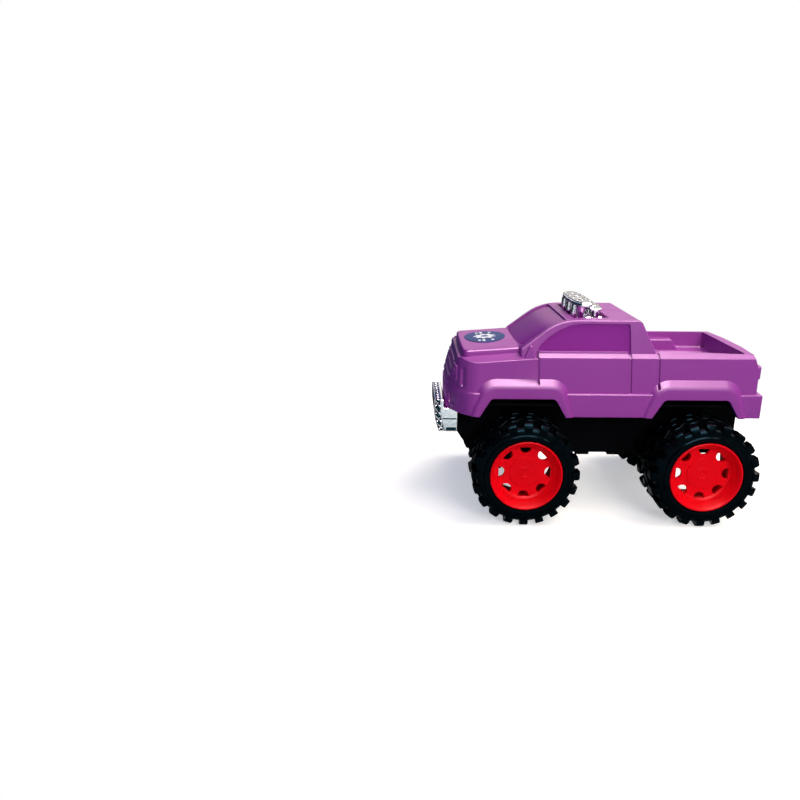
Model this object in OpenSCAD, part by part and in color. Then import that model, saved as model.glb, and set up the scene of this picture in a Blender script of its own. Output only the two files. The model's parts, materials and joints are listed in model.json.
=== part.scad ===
// Toy monster pickup: a moulded body shell on a deep black chassis tub, with
// two steel wheelsets, a plated push bar and a plated engine in the roof.
// Millimetres. +X forward, +Y left, +Z up. The origin is on the ground, at
// the middle of the length and of the width.

/* [Stance] */
// Distance between the two axles
wheelbase = 110; // [90:1:134]
// Reach of the push bar ahead of the front axle
nose_reach = 55.5; // [54:0.5:62]
// Reach of the rear bumper behind the rear axle
tail_reach = 40.5; // [39:0.5:50]
// How far the lower edge of the body hangs below the tops of the tyres
body_drop = 2.5; // [1:0.5:4]

/* [Wheels] */
// Outer diameter of a tyre, over its lugs
tyre_d = 67; // [55:1:82]
// Width of a tyre
tyre_w = 34; // [28:0.5:41]
// Outer diameter of a rim, which is also the bore of its tyre
rim_d = 44.6; // [36:0.2:54]
// Depth of the wheel disc behind the outer edge of its rim
dish_depth = 8; // [5:0.5:10]
// Thickness of a rim's barrel and bowl
rim_wall = 1.6; // [1.2:0.1:2.2]
// Number of windows round a wheel disc
windows = 8; // [5:1:10]
// Gap between the side of the tub and the inner face of a tyre
wheel_gap = 9; // [7:0.5:12]
// Diameter of an axle rod
axle_d = 3; // [2.5:0.1:4]
// Radial clearance of an axle rod in the chassis
axle_clear = 0.06; // [0.02:0.01:0.1]
// Diameter of the hub behind a wheel disc
hub_d = 9; // [7:0.5:12]
// Gap between a hub and the end of its axle beam
hub_clear = 0.4; // [0.2:0.1:1]

/* [Body shell] */
// Width of the body across the door panels
body_w = 80; // [66:1:82]
// Width of the body across the wheel arch flares
flare_w = 86.4; // [84:0.2:104]
// Height of the body from its lower edge to the belt line
body_h = 40.3; // [36:0.1:49]
// Height of the roof above the belt line
cab_h = 20.5; // [17:0.5:25]
// Width of the roof
roof_w = 70; // [58:1:74]
// Thickness of the moulded walls
wall = 2; // [1.6:0.1:2.4]
// How far the bumpers and sills stand out from the walls above them
skirt_out = 1.5; // [1:0.1:2.5]
// Height of the bumpers and sills
skirt_h = 15.3; // [12:0.1:17]
// Depth of the load bed below the belt line
bed_depth = 11.6; // [8:0.1:14]
// Thickness of the bed's side rails at the belt line
bed_rail = 2; // [1.6:0.1:3]
// Depth of the engine recess in the roof
recess_depth = 5; // [3:0.5:8]
// Width of the engine recess
recess_w = 56; // [44:1:60]
// Depth to which windows and door gaps are sunk in the walls
relief = 0.7; // [0.4:0.1:1]

/* [Chassis] */
// Width of the chassis tub
tub_w = 44; // [36:1:53]
// Height of the tub's underside above the axle line
tub_lift = 0.5; // [-1:0.1:2]
// Radius of the beam that each axle turns in
beam_r = 5.5; // [4.5:0.1:6.5]
// Thickness of the deck that the body sits on
deck_t = 2; // [1.6:0.1:3]
// Gap between the tops of the tyres and the deck
deck_gap = 3; // [2:0.5:5]
// Gap between the deck and the inside of the body
deck_clear = 0.5; // [0.3:0.1:1]
// Diameter of a screw's clearance hole
screw_d = 2.6; // [2.2:0.1:3]
// Diameter of the well for a screw's head
well_d = 5.4; // [4.6:0.1:6.5]

/* [Push bar and engine] */
// Width of the push bar
bar_w = 46; // [38:1:56]
// Height of the push bar
bar_h = 22; // [18:0.5:26]
// Length of the engine's air cleaner, along the truck
cleaner_l = 22; // [18:0.5:27]
// Width of the engine's air cleaner, across the truck
cleaner_w = 60; // [48:1:72]
// Height of the engine above the floor of its recess
engine_h = 15.2; // [13:0.1:18]

/* [Hidden] */
slip = 0.01;      // carries a cutting shape past the face that it cuts
through = 400;    // longer than any side of the model
below = 12;       // how far the upper parts of the body reach below the belt

// Stations along the length, each set off from the axle that it goes with
front_axle_x = (wheelbase + tail_reach - nose_reach) / 2;
rear_axle_x = front_axle_x - wheelbase;
nose_x = front_axle_x + 49;         // front of the bumper lip
grille_top_x = front_axle_x + 41;   // top of the raked grille
hood_front_x = front_axle_x + 37.5;
cowl_x = front_axle_x + 6.5;        // foot of the windshield, on the centre line
door_front_x = front_axle_x - 7.5;
header_x = front_axle_x - 24.3;     // top of the windshield
roof_front_x = front_axle_x - 31.5;
roof_rear_x = rear_axle_x + 39.5;
door_rear_x = rear_axle_x + 45.2;
cab_rear_x = rear_axle_x + 28.9;    // foot of the cab's back wall
tail_top_x = rear_axle_x - 33.5;    // tailgate rail, at the middle
tail_x = rear_axle_x - 39;          // back wall, at the middle
bumper_x = rear_axle_x - tail_reach;
front_arch_x = front_axle_x + 0.6;
rear_arch_x = rear_axle_x + 2.5;

// Heights
axle_z = tyre_d / 2;
body_z = tyre_d - body_drop;
belt_z = body_z + body_h;
roof_z = belt_z + cab_h;
lip_z = body_z + skirt_h;
arch_z = tyre_d + 9.5;
chamfer_h = 2.5;                    // shoulder chamfer under the belt line
wing_z = belt_z - 1.8;              // inner edge of a front wing
hood_z = belt_z + 0.2;              // front edge of the hood panel
cowl_z = belt_z + 2.5;              // rear edge of the hood panel
bed_z = belt_z - bed_depth;
recess_z = roof_z - recess_depth;
deck_z = tyre_d + deck_gap + deck_t;
tub_z = axle_z + tub_lift;

// Widths, from the centre line
half_body = body_w / 2;
half_belt = half_body - 2.4;
half_hood = half_body - 6.5;
half_roof = roof_w / 2;
half_bed = half_belt - bed_rail;
half_tub = tub_w / 2;
half_beam = half_tub + 2;
tyre_in_y = half_tub + wheel_gap;
tyre_out_y = tyre_in_y + tyre_w;

// Extrudes a side view, drawn in X and Z, across the width
module across(w) {
    rotate([90, 0, 0]) linear_extrude(height = w, center = true) children();
}
// Extrudes an end view, drawn in Y and Z, along the length
module along() {
    rotate([90, 0, 90]) linear_extrude(height = through, center = true) children();
}
module both_sides() {
    for (side = [0, 1]) mirror([0, side, 0]) children();
}
module at_axle(x) {
    translate([x, 0, axle_z]) rotate([90, 0, 0]) children();
}

// ---- Body shell ----
// Each of its blocks takes an inset: 0 draws the outside, and the wall
// thickness draws the hollow

// Plan: the nose rounds off towards its corners and the tail bows a little
nose_bow = 16;
tail_bow = 4;
module plan(half, back, inset) {
    steps = 12;
    polygon(concat(
        [for (i = [-steps:steps]) let (u = i / steps)
            [nose_x - inset - nose_bow * pow(abs(u), 3), (half - inset) * u]],
        [for (i = [steps:-2:-steps]) let (u = i / steps)
            [back + inset + tail_bow * u * u, (half - inset) * u]]));
}
module lower_profile(inset) {
    foot = body_z - slip - inset;
    polygon([[tail_x + inset, foot], [nose_x + slip - inset, foot],
             [nose_x + slip - inset, lip_z], [grille_top_x - inset, wing_z - 2 - inset],
             [door_front_x - inset, wing_z - inset], [door_front_x - inset, belt_z - inset],
             [tail_top_x + inset, belt_z - inset], [tail_x + inset, belt_z - 8]]);
}
module lower_section(inset) {
    foot = body_z - slip - inset;
    side = half_body - inset;
    top = half_belt - inset;
    polygon([[-side, foot], [side, foot], [side, belt_z - chamfer_h - inset], [top, belt_z - inset],
             [-top, belt_z - inset], [-side, belt_z - chamfer_h - inset]]);
}
module lower_body(inset) {
    intersection() {
        translate([0, 0, body_z - wall]) linear_extrude(height = body_h + 2 * wall)
            plan(half_body, tail_x, inset);
        across(through) lower_profile(inset);
        along() lower_section(inset);
    }
}

// Bumpers and sills: a band round the lower edge
module skirt() {
    translate([0, 0, body_z]) linear_extrude(height = skirt_h)
        plan(half_body + skirt_out, bumper_x, 0);
}

// Raised hood panel
module hood(inset) {
    intersection() {
        across(2 * (half_hood - inset)) polygon([
            [door_front_x, belt_z - below], [hood_front_x - inset, belt_z - below],
            [hood_front_x - inset, hood_z - inset], [cowl_x, cowl_z - inset],
            [door_front_x, cowl_z - inset]]);
        translate([0, 0, belt_z - below]) linear_extrude(height = 2 * below)
            plan(half_body, tail_x, inset);
    }
}

// Cab: its windshield bows forward in three flats, one ahead and one turned
// towards each pillar
glass_turn = 12;
module cab_front(inset, back) {
    polygon([[back, belt_z - below], [back, roof_z - inset], [roof_front_x - inset, roof_z - inset],
             [header_x - inset, roof_z - 1.3 - inset],
             [(header_x + cowl_x) / 2 + 1 - inset, roof_z - 7.2 - inset],
             [cowl_x - inset, cowl_z - 0.5 - inset], [cowl_x - inset, belt_z - below]]);
}
module cab(inset) {
    foot = half_belt - inset;
    eave = half_roof + 0.8 - inset;
    top = half_roof - 1.5 - inset;
    intersection() {
        across(through) cab_front(inset, rear_axle_x);
        for (s = [-1, 1]) translate([cowl_x, s * half_hood / 3, 0]) rotate([0, 0, s * glass_turn])
            translate([-cowl_x, 0, 0]) across(through) cab_front(inset, rear_axle_x - wheelbase);
        across(through) polygon([
            [cab_rear_x + inset, belt_z - below], [cab_rear_x + inset, belt_z],
            [roof_rear_x + inset, roof_z + 1], [nose_x, roof_z + 1], [nose_x, belt_z - below]]);
        along() polygon([
            [-foot, belt_z - below], [foot, belt_z - below], [foot, belt_z], [eave, roof_z - 2 - inset],
            [top, roof_z - inset], [-top, roof_z - inset], [-eave, roof_z - 2 - inset], [-foot, belt_z]]);
    }
}

// A trapezoid that stands on z0, with arcs of radius r at its upper corners
module round_trapezoid(foot, top, z0, z1, r) {
    leg = norm([foot - top, z1 - z0]);
    lean = (foot - top) / leg;
    rise = (z1 - z0) / leg;
    up = (z1 - z0 - r + r * lean) / rise;
    centre_x = foot - up * lean - r * rise;
    start = atan2(lean, rise);
    arc = [for (i = [0:6]) let (q = start + (90 - start) * i / 6)
        [centre_x + r * cos(q), z1 - r + r * sin(q)]];
    polygon(concat([[foot, z0]], arc, [for (i = [6:-1:0]) [-arc[i][0], arc[i][1]]], [[-foot, z0]]));
}
arch_foot = 27;   // half length of a wheel arch at the body's lower edge
arch_top = 20;
arch_round = 3.5;
module arch(x) {
    translate([x, 0, 0]) across(through)
        round_trapezoid(arch_foot, arch_top, body_z - 1, arch_z, arch_round);
}
// The flare round an arch slopes out from the wall to its own flat face
module flare(x) {
    face_band = 4;    // width of the flat face beside the arch
    slope_band = 2.7; // width of the slope outside it
    face_z = arch_z + 7.5;
    translate([x, 0, 0]) hull() {
        across(body_w - 1) round_trapezoid(arch_foot + face_band + slope_band, arch_top + 6, body_z,
                                           face_z + 6.3, 14);
        across(flare_w) round_trapezoid(arch_foot + face_band, arch_top + 3.5, body_z, face_z, 9);
    }
}

// Posts that the four body screws bite into
post_d = 6;
pilot_d = 2.1;
pilot_h = 9;
post_x = [front_axle_x + 24, rear_axle_x - 19];
post_y = 12;
post_top = [hood_z, bed_z - wall / 2];
module posts() {
    for (i = [0, 1], s = [-1, 1]) translate([post_x[i], s * post_y, deck_z]) difference() {
        cylinder(d = post_d, h = post_top[i] - deck_z, $fn = 32);
        translate([0, 0, -slip]) cylinder(d = pilot_d, h = pilot_h, $fn = 32);
    }
}

// Recess for the engine, wider at its front
recess_front_x = roof_front_x + 0.5;
recess_rear_x = roof_rear_x + 17.5;
recess_taper = 2;
module recess(grow) {
    front = recess_w / 2 + grow;
    back = front - recess_taper;
    translate([0, 0, recess_z - grow]) linear_extrude(height = cab_h)
        polygon([[recess_front_x + grow, -front], [recess_front_x + grow, front],
                 [recess_rear_x - grow, back], [recess_rear_x - grow, -back]]);
}

// Sunk panes: one in each side of the cab and one in its back wall
pane_foot = belt_z + 1.5;
pane_top = roof_z - 4.2;
module side_panes() {
    tilt = atan2(half_belt - half_roof - 0.8, cab_h - 2);
    both_sides() translate([0, half_belt - relief, belt_z]) rotate([90 - tilt, 0, 0])
        mirror([0, 0, 1]) linear_extrude(height = 3 * relief)
            polygon([[door_rear_x, pane_foot - belt_z], [door_front_x - 3, pane_foot - belt_z],
                     [roof_front_x + 8, pane_top - belt_z], [door_rear_x, pane_top - belt_z]]);
}
module back_pane() {
    lean = atan2(roof_rear_x - cab_rear_x, cab_h + 1);
    translate([cab_rear_x + relief, 0, belt_z]) rotate([0, lean, 0])
        translate([-3 * relief, -half_roof + 8, 4]) cube([3 * relief, roof_w - 16, cab_h - 8]);
}
module door_gaps() {
    for (x = [door_front_x, door_rear_x, cab_rear_x - 0.5]) both_sides()
        translate([x, half_body, lip_z + 0.5]) rotate([0, 0, 45])
            translate([-relief / 2, -relief / 2, 0]) cube([relief, relief, belt_z - lip_z]);
}

// Boxes over the rear wheels, inside the load bed
hump_h = 7.6;
hump_w = 7.5;
module wheel_humps() {
    both_sides() translate([0, half_bed - hump_w / 2, 0]) across(hump_w + slip)
        polygon([[cab_rear_x - slip, bed_z - slip], [cab_rear_x - slip, bed_z + hump_h],
                 [rear_axle_x - 3.5, bed_z + hump_h], [rear_axle_x - 8.5, bed_z - slip]]);
}
module load_bed() {
    front = cab_rear_x;
    back = tail_top_x + tail_bow + bed_rail + 0.5;
    translate([back, -half_bed, bed_z]) cube([front - back, 2 * half_bed, body_h]);
}
module hollow() {
    difference() {
        union() {
            lower_body(wall);
            hood(wall);
            cab(wall);
        }
        translate([tail_x - slip, -through / 2, bed_z - wall])
            cube([cab_rear_x + wall - tail_x, through, body_h]);
        recess(wall);
    }
}
module body_shell() color([0.56, 0.22, 0.58]) {
    difference() {
        union() {
            difference() {
                union() {
                    lower_body(0);
                    skirt();
                    hood(0);
                    cab(0);
                    flare(front_arch_x);
                    flare(rear_arch_x);
                }
                hollow();
            }
            posts();
        }
        arch(front_arch_x);
        arch(rear_arch_x);
        load_bed();
        recess(0);
        side_panes();
        back_pane();
        door_gaps();
    }
    wheel_humps();
}

// ---- Chassis ----

tub_front_x = front_axle_x + 40;
tub_rear_x = rear_axle_x - 32.5;
module tub_profile(inset) {
    top = deck_z + (inset > 0 ? 1 : 0);
    polygon([[tub_rear_x + inset, top], [tub_rear_x + inset, tub_z + 16], [tub_rear_x + 7 + inset, tub_z + inset],
             [tub_front_x - 9 - inset, tub_z + inset], [tub_front_x - inset, tub_z + 13.6],
             [tub_front_x - inset, top]]);
}
module axle_beam(x) {
    at_axle(x) {
        cylinder(r = beam_r, h = 2 * half_beam, center = true, $fn = 48);
        translate([-beam_r, 0, -half_beam]) cube([2 * beam_r, beam_r + wall, 2 * half_beam]);
    }
}
module deck() {
    half = half_body - wall - deck_clear;
    back = rear_axle_x - 29;
    translate([back, -half, deck_z - deck_t]) cube([front_axle_x + 29 - back, 2 * half, deck_t]);
}
module chassis() color([0.09, 0.09, 0.1]) {
    difference() {
        union() {
            difference() {
                union() {
                    across(tub_w) tub_profile(0);
                    deck();
                }
                across(tub_w - 2 * wall) tub_profile(wall);
            }
            axle_beam(front_axle_x);
            axle_beam(rear_axle_x);
            for (x = post_x, s = [-1, 1]) translate([x, s * post_y, tub_z])
                cylinder(d = well_d + 2 * wall, h = deck_z - tub_z, $fn = 32);
        }
        for (x = [front_axle_x, rear_axle_x]) at_axle(x)
            cylinder(d = axle_d + 2 * axle_clear, h = through, center = true, $fn = 48);
        for (x = post_x, s = [-1, 1]) translate([x, s * post_y, tub_z - slip]) {
            cylinder(d = screw_d, h = deck_z - tub_z + 1, $fn = 32);
            cylinder(d = well_d, h = deck_z - tub_z - 5, $fn = 32);
        }
    }
}

// ---- Push bar ----
// A plated box on the front of the tub, open behind. Its top passes ahead of
// the body's nose, and its front wall is a lattice of diamond openings.

bar_x = front_axle_x + nose_reach;
bar_z = tub_z + 14;
bar_wall = 1.6;
bar_gap = 0.3;       // between the bar and the body
lattice_rows = 3;
lattice_columns = 7;
module bar_profile(inset) {
    back = tub_front_x - (inset > 0 ? 1 : 0);
    step_x = nose_x + bar_gap;
    step_z = body_z - bar_gap - inset;
    top = bar_z + bar_h - inset;
    foot = bar_z + inset;
    polygon([[back, foot], [bar_x - 3 - inset, foot], [bar_x - 0.8 - inset, foot + 4],
             [bar_x - inset, foot + bar_h / 2], [bar_x - inset, top - 2], [bar_x - 1.5 - inset, top],
             [step_x + inset, top], [step_x + inset, step_z], [back, step_z]]);
}
module push_bar() color([0.8, 0.82, 0.85]) {
    pitch_y = (bar_w - 2 * bar_wall) / lattice_columns;
    pitch_z = (bar_h - 2 * bar_wall) / lattice_rows;
    hole = 0.5 * min(pitch_y, pitch_z);
    difference() {
        across(bar_w) bar_profile(0);
        across(bar_w - 2 * bar_wall) bar_profile(bar_wall);
        for (i = [1:lattice_columns], j = [1:lattice_rows])
            translate([bar_x, (i - 0.5) * pitch_y - bar_w / 2 + bar_wall,
                       bar_z + bar_wall + (j - 0.5) * pitch_z])
                rotate([45, 0, 0]) cube([8 * bar_wall, hole, hole], center = true);
    }
}

// ---- Roof engine ----
// A block in the recess, four intake barrels, an oval air cleaner on top of
// them and a header pipe down to each corner of the block

engine_x = (recess_front_x + recess_rear_x) / 2;
cleaner_t = 4;
cleaner_z = recess_z + engine_h - cleaner_t;
block_h = 5;
block_w = recess_w - 14;
block_l = recess_front_x - recess_rear_x - 2;
module oval(l, w, h) {
    linear_extrude(height = h)
        polygon([for (i = [0:47]) let (q = i * 7.5) [l / 2 * cos(q), w / 2 * sin(q)]]);
}
module roof_engine() color([0.85, 0.87, 0.9]) {
    translate([engine_x - block_l / 2, -block_w / 2, recess_z]) cube([block_l, block_w, block_h]);
    for (y = [-15, -5, 5, 15]) translate([engine_x, y, recess_z + block_h - slip])
        cylinder(d = 8, h = cleaner_z - recess_z - block_h + 2 * slip, $fn = 32);
    for (x = [-1, 1], s = [-1, 1]) translate([engine_x + x * 7, s * 18.5, recess_z + block_h - slip])
        cylinder(d = 3, h = cleaner_z - recess_z - block_h + 2 * slip, $fn = 24);
    translate([engine_x, 0, cleaner_z]) {
        oval(cleaner_l, cleaner_w, cleaner_t - 1.5);
        oval(cleaner_l - 5, cleaner_w - 5, cleaner_t);
    }
}

// ---- Hood badge ----

badge_t = 0.3;
badge_l = 27;
badge_w = 36;
module hood_badge() color([0.02, 0.25, 0.6]) {
    slope = atan2(cowl_z - hood_z, hood_front_x - cowl_x);
    translate([(hood_front_x + cowl_x) / 2, 0, (hood_z + cowl_z) / 2]) rotate([0, slope, 0])
        oval(badge_l, badge_w, badge_t);
}

// ---- Wheels ----

disc_t = 2;
module axle(x) color([0.7, 0.7, 0.72]) {
    at_axle(x) cylinder(d = axle_d, h = 2 * (tyre_out_y - dish_depth - disc_t), center = true, $fn = 48);
}
// Puts a wheel part, which is drawn with its outer face up, on its axle
module at_wheel(x, side) {
    translate([x, side * tyre_out_y, axle_z]) rotate([side < 0 ? 90 : -90, 0, 0]) children();
}
module rim(x, side) color([0.88, 0.07, 0.08]) at_wheel(x, side) {
    r = rim_d / 2;
    bowl_r = 0.75 * r;      // inner edge of the bowl, where the flat disc starts
    cap_r = 0.43 * r;       // raised middle of the disc
    cap_h = 1;
    window_r = 0.175 * r;
    hub_l = tyre_out_y - dish_depth - half_beam - hub_clear;
    difference() {
        union() {
            rotate_extrude($fn = 96) polygon([
                [r, -0.4], [r - 0.4, 0], [r - 1.2, 0], [bowl_r, -dish_depth], [0, -dish_depth],
                [0, -dish_depth - disc_t], [bowl_r + 0.2, -dish_depth - disc_t],
                [r - rim_wall, -disc_t], [r - rim_wall, 2 - tyre_w], [r, 2 - tyre_w]]);
            translate([0, 0, -dish_depth - hub_l]) cylinder(d = hub_d, h = hub_l, $fn = 48);
            translate([0, 0, -dish_depth]) cylinder(r = cap_r, h = cap_h, $fn = 64);
        }
        translate([0, 0, -dish_depth - hub_l - 1]) cylinder(d = axle_d, h = hub_l + 1 - disc_t, $fn = 48);
        // each window is a round hole with its outer side cut off flat
        for (i = [0:windows - 1]) rotate([0, 0, 90 + i * 360 / windows])
            translate([0, 0, -dish_depth - disc_t - 1]) intersection() {
                translate([0.7 * r, 0, 0]) cylinder(r = window_r, h = dish_depth, $fn = 32);
                translate([0, -window_r, 0]) cube([0.72 * r, 2 * window_r, dish_depth]);
            }
    }
}
module tyre(x, side) color([0.05, 0.05, 0.055]) at_wheel(x, side) {
    bore = rim_d / 2;
    tread = tyre_d / 2;
    rotate_extrude($fn = 96) polygon([
        [bore, 1.5 - tyre_w], [bore, -0.6], [bore + 2, 0], [tread - 5, -0.6], [tread - 1.5, -2.5],
        [tread, -5.5], [tread, 5.5 - tyre_w], [tread - 1.5, 2.5 - tyre_w],
        [tread - 5, 0.6 - tyre_w], [bore + 2, -tyre_w]]);
}

body_shell();
chassis();
push_bar();
roof_engine();
hood_badge();
axle(front_axle_x);  // front_axle
axle(rear_axle_x);  // rear_axle
rim(front_axle_x, 1);  // rim_front_left
rim(front_axle_x, -1);  // rim_front_right
rim(rear_axle_x, 1);  // rim_rear_left
rim(rear_axle_x, -1);  // rim_rear_right
tyre(front_axle_x, 1);  // tyre_front_left
tyre(front_axle_x, -1);  // tyre_front_right
tyre(rear_axle_x, 1);  // tyre_rear_left
tyre(rear_axle_x, -1);  // tyre_rear_right
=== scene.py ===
import json
from math import atan2, copysign, cos, degrees, hypot, pi, radians, sin

import bmesh
import bpy
from mathutils import Matrix, Vector
from mathutils.bvhtree import BVHTree


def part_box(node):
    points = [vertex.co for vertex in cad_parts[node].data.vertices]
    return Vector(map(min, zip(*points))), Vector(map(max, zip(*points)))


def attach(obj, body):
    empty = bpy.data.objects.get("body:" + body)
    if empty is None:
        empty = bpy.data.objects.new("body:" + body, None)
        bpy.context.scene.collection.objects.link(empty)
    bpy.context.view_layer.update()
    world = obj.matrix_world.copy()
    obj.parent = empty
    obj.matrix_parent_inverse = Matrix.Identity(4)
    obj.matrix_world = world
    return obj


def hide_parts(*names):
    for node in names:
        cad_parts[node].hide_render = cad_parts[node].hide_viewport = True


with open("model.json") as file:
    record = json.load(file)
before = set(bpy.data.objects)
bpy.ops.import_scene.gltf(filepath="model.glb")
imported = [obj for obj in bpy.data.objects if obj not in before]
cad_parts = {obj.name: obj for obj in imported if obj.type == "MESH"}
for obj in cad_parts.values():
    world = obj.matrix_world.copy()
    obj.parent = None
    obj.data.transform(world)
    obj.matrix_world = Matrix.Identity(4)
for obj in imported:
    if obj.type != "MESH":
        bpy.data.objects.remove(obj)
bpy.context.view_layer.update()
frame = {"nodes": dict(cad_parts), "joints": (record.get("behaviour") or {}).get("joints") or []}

scene = bpy.context.scene
mm = 0.001  # pieces are modelled in millimetres and brought to metres when they are finished


def nodeBox(node):
    low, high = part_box(node)
    return low / mm, high / mm


def axleOf(joint):
    place = next(j["pos_m"] for j in frame["joints"] if j["name"] == joint)
    return Vector(place) / mm


frontAxle = axleOf("front_axle_spin")
rearAxle = axleOf("rear_axle_spin")
shellLow, shellHigh = nodeBox("body_shell")
tubLow, tubHigh = nodeBox("chassis")


# basic shapes

def facing(direction, up="Y"):
    return direction.to_track_quat("Z", up).to_matrix().to_4x4()


def placed(bm, place, turn=Matrix()):
    bmesh.ops.transform(bm, matrix=Matrix.Translation(place) @ turn, verts=bm.verts)
    return bm


def outwards(bm):
    bmesh.ops.recalc_face_normals(bm, faces=bm.faces)
    return bm


def cuboid(low, high):
    low, high = Vector(low), Vector(high)
    bm = bmesh.new()
    bmesh.ops.create_cube(bm, size=1, matrix=Matrix.Diagonal((*(high - low), 1)))
    return placed(bm, (low + high) / 2)


def prism(outline, axis, start, end):
    # outline is (x, y) for axis z, (x, z) for axis y and (y, z) for axis x
    k = "xyz".index(axis)
    bm = bmesh.new()
    face = bm.faces.new([bm.verts.new((*point[:k], start, *point[k:])) for point in outline])
    made = bmesh.ops.extrude_face_region(bm, geom=[face])["geom"]
    step = Matrix.Identity(3)[k] * (end - start)
    bmesh.ops.translate(bm, vec=step, verts=[v for v in made if isinstance(v, bmesh.types.BMVert)])
    return outwards(bm)


def hull(points):
    bm = bmesh.new()
    for point in points:
        bm.verts.new(point)
    bmesh.ops.convex_hull(bm, input=bm.verts[:])
    return outwards(bm)


def rod(start, end, radius, segments=24):
    start, end = Vector(start), Vector(end)
    turn = Matrix.Translation((start + end) / 2) @ facing(end - start)
    bm = bmesh.new()
    bmesh.ops.create_cone(bm, cap_ends=True, segments=segments, radius1=radius, radius2=radius,
                          depth=(end - start).length, matrix=turn)
    return bm


def post(x, y, low, high, radius, segments=24):
    return rod((x, y, low), (x, y, high), radius, segments)


def lathe(profile, steps):
    # profile is (radius, height) pairs, turned about z; a closed profile ends where it starts
    bm = bmesh.new()
    closed = profile[0] == profile[-1]
    ring = [bm.verts.new((r, 0, z)) for r, z in (profile[:-1] if closed else profile)]
    edges = [bm.edges.new(pair) for pair in zip(ring, ring[1:] + ring[:1] if closed else ring[1:])]
    bmesh.ops.spin(bm, geom=ring + edges, cent=(0, 0, 0), axis=(0, 0, 1), angle=2 * pi,
                   steps=steps, use_merge=True)
    bmesh.ops.remove_doubles(bm, verts=bm.verts, dist=1e-4)
    return outwards(bm)


def pipe(points, radius, sides=10):
    # a round tube with closed ends along the points
    points = [Vector(p) for p in points]
    bm = bmesh.new()
    loops = []
    for i, point in enumerate(points):
        ahead = points[min(i + 1, len(points) - 1)] - points[max(i - 1, 0)]
        made = bmesh.ops.create_circle(bm, segments=sides, radius=radius, cap_ends=i in (0, len(points) - 1),
                                       matrix=Matrix.Translation(point) @ facing(ahead, "X"))["verts"]
        loops.append([e for e in {e for v in made for e in v.link_edges} if all(w in made for w in e.verts)])
    for one, two in zip(loops, loops[1:]):
        bmesh.ops.bridge_loops(bm, edges=one + two)
    return outwards(bm)


def arcPoints(centre, radius, start, end, steps):
    turns = [radians(start + (end - start) * i / steps) for i in range(steps + 1)]
    return [(centre[0] + radius * cos(t), centre[1] + radius * sin(t)) for t in turns]


def bendPoints(start, pull, end, steps):
    # a curve that leaves start and reaches end in the directions of pull
    made = []
    for i in range(steps + 1):
        t = i / steps
        a, b, c = (1 - t) ** 2, 2 * t * (1 - t), t * t
        made.append(tuple(a * start[k] + b * pull[k] + c * end[k] for k in (0, 1)))
    return made


def rectangle(x0, y0, x1, y1):
    return [(x0, y0), (x1, y0), (x1, y1), (x0, y1)]


def softBlock(box, r, axis, start, end):
    # a prism over the box (x0, y0, x1, y1) with its corners rounded
    x0, y0, x1, y1 = box
    corners = [(x1 - r, y0 + r), (x1 - r, y1 - r), (x0 + r, y1 - r), (x0 + r, y0 + r)]
    outline = [p for k, centre in enumerate(corners) for p in arcPoints(centre, r, 90 * k - 90, 90 * k, 4)]
    return prism(outline, axis, start, end)


def insetOutline(points, depth):
    # moves each side of an anticlockwise outline inwards
    moved = []
    for i, point in enumerate(points):
        before, here, after = (Vector(p) for p in (points[i - 1], point, points[(i + 1) % len(points)]))
        one, two = (here - before).normalized(), (after - here).normalized()
        one, two = Vector((-one.y, one.x)), Vector((-two.y, two.x))
        middle = (one + two).normalized()
        moved.append(tuple(here + middle * depth / middle.dot(one)))
    return moved


def slicePlane(bm, point, normal, clear=False):
    return bmesh.ops.bisect_plane(bm, geom=bm.verts[:] + bm.edges[:] + bm.faces[:], dist=1e-5,
                                  plane_co=point, plane_no=normal, clear_outer=clear)["geom_cut"]


def sliceOff(bm, point, normal, inset=0.0):
    # takes away what lies beyond a plane and closes the cut
    normal = Vector(normal).normalized()
    cut = slicePlane(bm, Vector(point) - normal * inset, normal, True)
    edges = [e for e in cut if isinstance(e, bmesh.types.BMEdge) and e.is_boundary]
    if edges:
        bmesh.ops.contextual_create(bm, geom=edges)
    outwards(bm)


def lowest(edge, axis=2):
    return min(v.co[axis] for v in edge.verts)


def highest(edge, axis=2):
    return max(v.co[axis] for v in edge.verts)


def radii(edge):
    return [v.co.xy.length for v in edge.verts]


def roundEdges(bm, width, segments=3, sharp=25, over=-1e9, chosen=lambda edge: True, clamp=True):
    # rounds the convex edges above a height that turn by more than sharp degrees
    edges = [e for e in bm.edges if len(e.link_faces) == 2 and e.is_convex and lowest(e) > over
             and degrees(e.calc_face_angle(0)) > sharp and chosen(e)]
    bmesh.ops.bevel(bm, geom=edges, offset=width, offset_type="OFFSET", segments=segments, profile=0.5,
                    affect="EDGES", material=-1, clamp_overlap=clamp)
    return bm


def softenEdges(bm, width, sharp, chosen=lambda edge: True):
    # takes the knife edge off what the cutting left
    bmesh.ops.triangulate(bm, faces=[f for f in bm.faces if len(f.verts) > 4])
    return roundEdges(bm, width, 2, sharp, chosen=chosen, clamp=False)


def roundedPrism(outline, axis, start, end, radius, segments=4):
    # a prism whose lengthwise edges are rounded
    k = "xyz".index(axis)
    along = lambda e: highest(e, k) - lowest(e, k) > 1e-3
    return roundEdges(prism(outline, axis, start, end), radius, segments, chosen=along)


def asObject(bm, name="tool"):
    mesh = bpy.data.meshes.new(name)
    bm.to_mesh(mesh)
    thing = bpy.data.objects.new(name, mesh)
    scene.collection.objects.link(thing)
    return thing


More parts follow.
